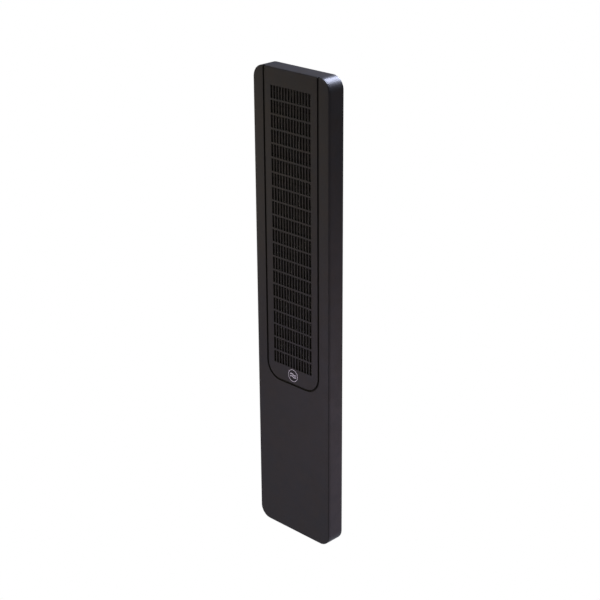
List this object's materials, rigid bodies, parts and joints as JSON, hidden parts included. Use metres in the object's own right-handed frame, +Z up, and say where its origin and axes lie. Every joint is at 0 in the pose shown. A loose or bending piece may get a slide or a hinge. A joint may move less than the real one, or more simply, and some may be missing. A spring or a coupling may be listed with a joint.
{
  "type": "air purifier",
  "caption": "Slim wall-hung air purifier: a tall flat black panel with a lift-off slotted grille, a pleated filter and a centrifugal blower.",
  "frame": {"origin": "centre of the wall bracket's screw pattern on the wall plane, at half the product's height", "axes": "+Z up, +X to the right seen from the front, +Y into the wall; the front faces -Y"},
  "size_m": [0.202, 0.042, 1],
  "materials": {
    "cover_plastic": "satin black moulded plastic with a fine even grain",
    "badge_black": "gloss black",
    "badge_silver": "satin chrome plate",
    "inner_plastic": "matt charcoal plastic",
    "wheel_plastic": "matt grey plastic",
    "filter_frame_plastic": "matt off-white plastic",
    "filter_paper": "white glass-fibre paper",
    "carbon": "black carbon-loaded fleece",
    "foam": "soft dark foam",
    "net": "black woven nylon net",
    "ribbon": "grey woven ribbon",
    "rubber": "black rubber",
    "zinc_steel": "zinc-plated steel",
    "ground_steel": "ground steel",
    "magnet_nickel": "nickel plate",
    "core_steel": "laminated steel",
    "ferrite": "dark ferrite",
    "copper": "enamelled copper wire",
    "aluminium": "plain aluminium",
    "circuit_board": "green solder mask",
    "component_black": "matt black plastic",
    "socket_plastic": "natural nylon",
    "pin_metal": "nickel brass",
    "ribbon_cable": "white flat cable",
    "wire_cover": "black wire covering"
  },
  "bodies": {
    "housing": {"rear_housing": "cover_plastic", "front_cover": "cover_plastic", "magnet_strikes": "zinc_steel", "chassis": "inner_plastic", "scroll_housing": "inner_plastic", "inlet_ring": "inner_plastic", "motor_base": "zinc_steel", "bearings": "ground_steel", "stator_core": "core_steel", "stator_windings": "copper", "motor_board": "circuit_board", "motor_cable": "ribbon_cable", "power_board": "circuit_board", "control_board": "circuit_board", "transformer": "component_black", "mains_capacitor": "component_black", "heat_sink": "aluminium", "control_parts": "component_black", "wire_sockets": "socket_plastic", "air_sensor": "zinc_steel", "reed_switch": "socket_plastic", "power_inlet": "component_black", "inlet_pins": "pin_metal", "rocker_frame": "component_black", "button_switch": "circuit_board", "outlet_louvre": "cover_plastic", "wall_bracket": "zinc_steel", "wall_pads": "rubber", "housing_screws": "zinc_steel", "scroll_screws": "zinc_steel", "chassis_screws": "zinc_steel", "motor_screws": "zinc_steel", "board_screws": "zinc_steel", "mains_wires": "wire_cover", "low_voltage_wires": "wire_cover", "sensor_wires": "wire_cover"},
    "grille": {"grille_panel": "cover_plastic", "badge_base": "badge_black", "badge_emblem": "badge_silver", "panel_magnets": "magnet_nickel"},
    "filter": {"filter_frame": "filter_frame_plastic", "filter_gasket": "foam", "carbon_pad": "carbon", "pleat_pack": "filter_paper", "prefilter_frame": "inner_plastic", "prefilter_mesh": "net", "pull_tab": "ribbon"},
    "wheel": {"fan_wheel": "wheel_plastic", "rotor_cup": "zinc_steel", "rotor_magnet": "ferrite", "motor_shaft": "ground_steel"},
    "rocker": {"rocker": "cover_plastic"},
    "button": {"mode_button": "cover_plastic"}
  },
  "joints": [
    {"name": "grille_pull", "type": "slide", "parent": "housing", "child": "grille", "axis": [0, -1, 0], "range_m": [0, 0.08]},
    {"name": "filter_pull", "type": "slide", "parent": "housing", "child": "filter", "axis": [0, -1, 0], "range_m": [0, 0.04]},
    {"name": "wheel_spin", "type": "hinge", "parent": "housing", "child": "wheel", "pos_m": [-0.012, -0.0235, -0.285], "axis": [0, 1, 0], "continuous": true},
    {"name": "rocker_tilt", "type": "hinge", "parent": "housing", "child": "rocker", "pos_m": [-0.032, -0.0239, -0.4944], "axis": [0, 1, 0], "range_deg": [-18, 0]},
    {"name": "button_press", "type": "slide", "parent": "housing", "child": "button", "axis": [0, 0, 1], "range_m": [0, 0.0012], "stiffness_N_per_m": 400, "springref_m": -0.001}
  ],
  "couplings": [
    {"joint": "filter_pull", "follows": "grille_pull", "ratio": 0.5}
  ]
}
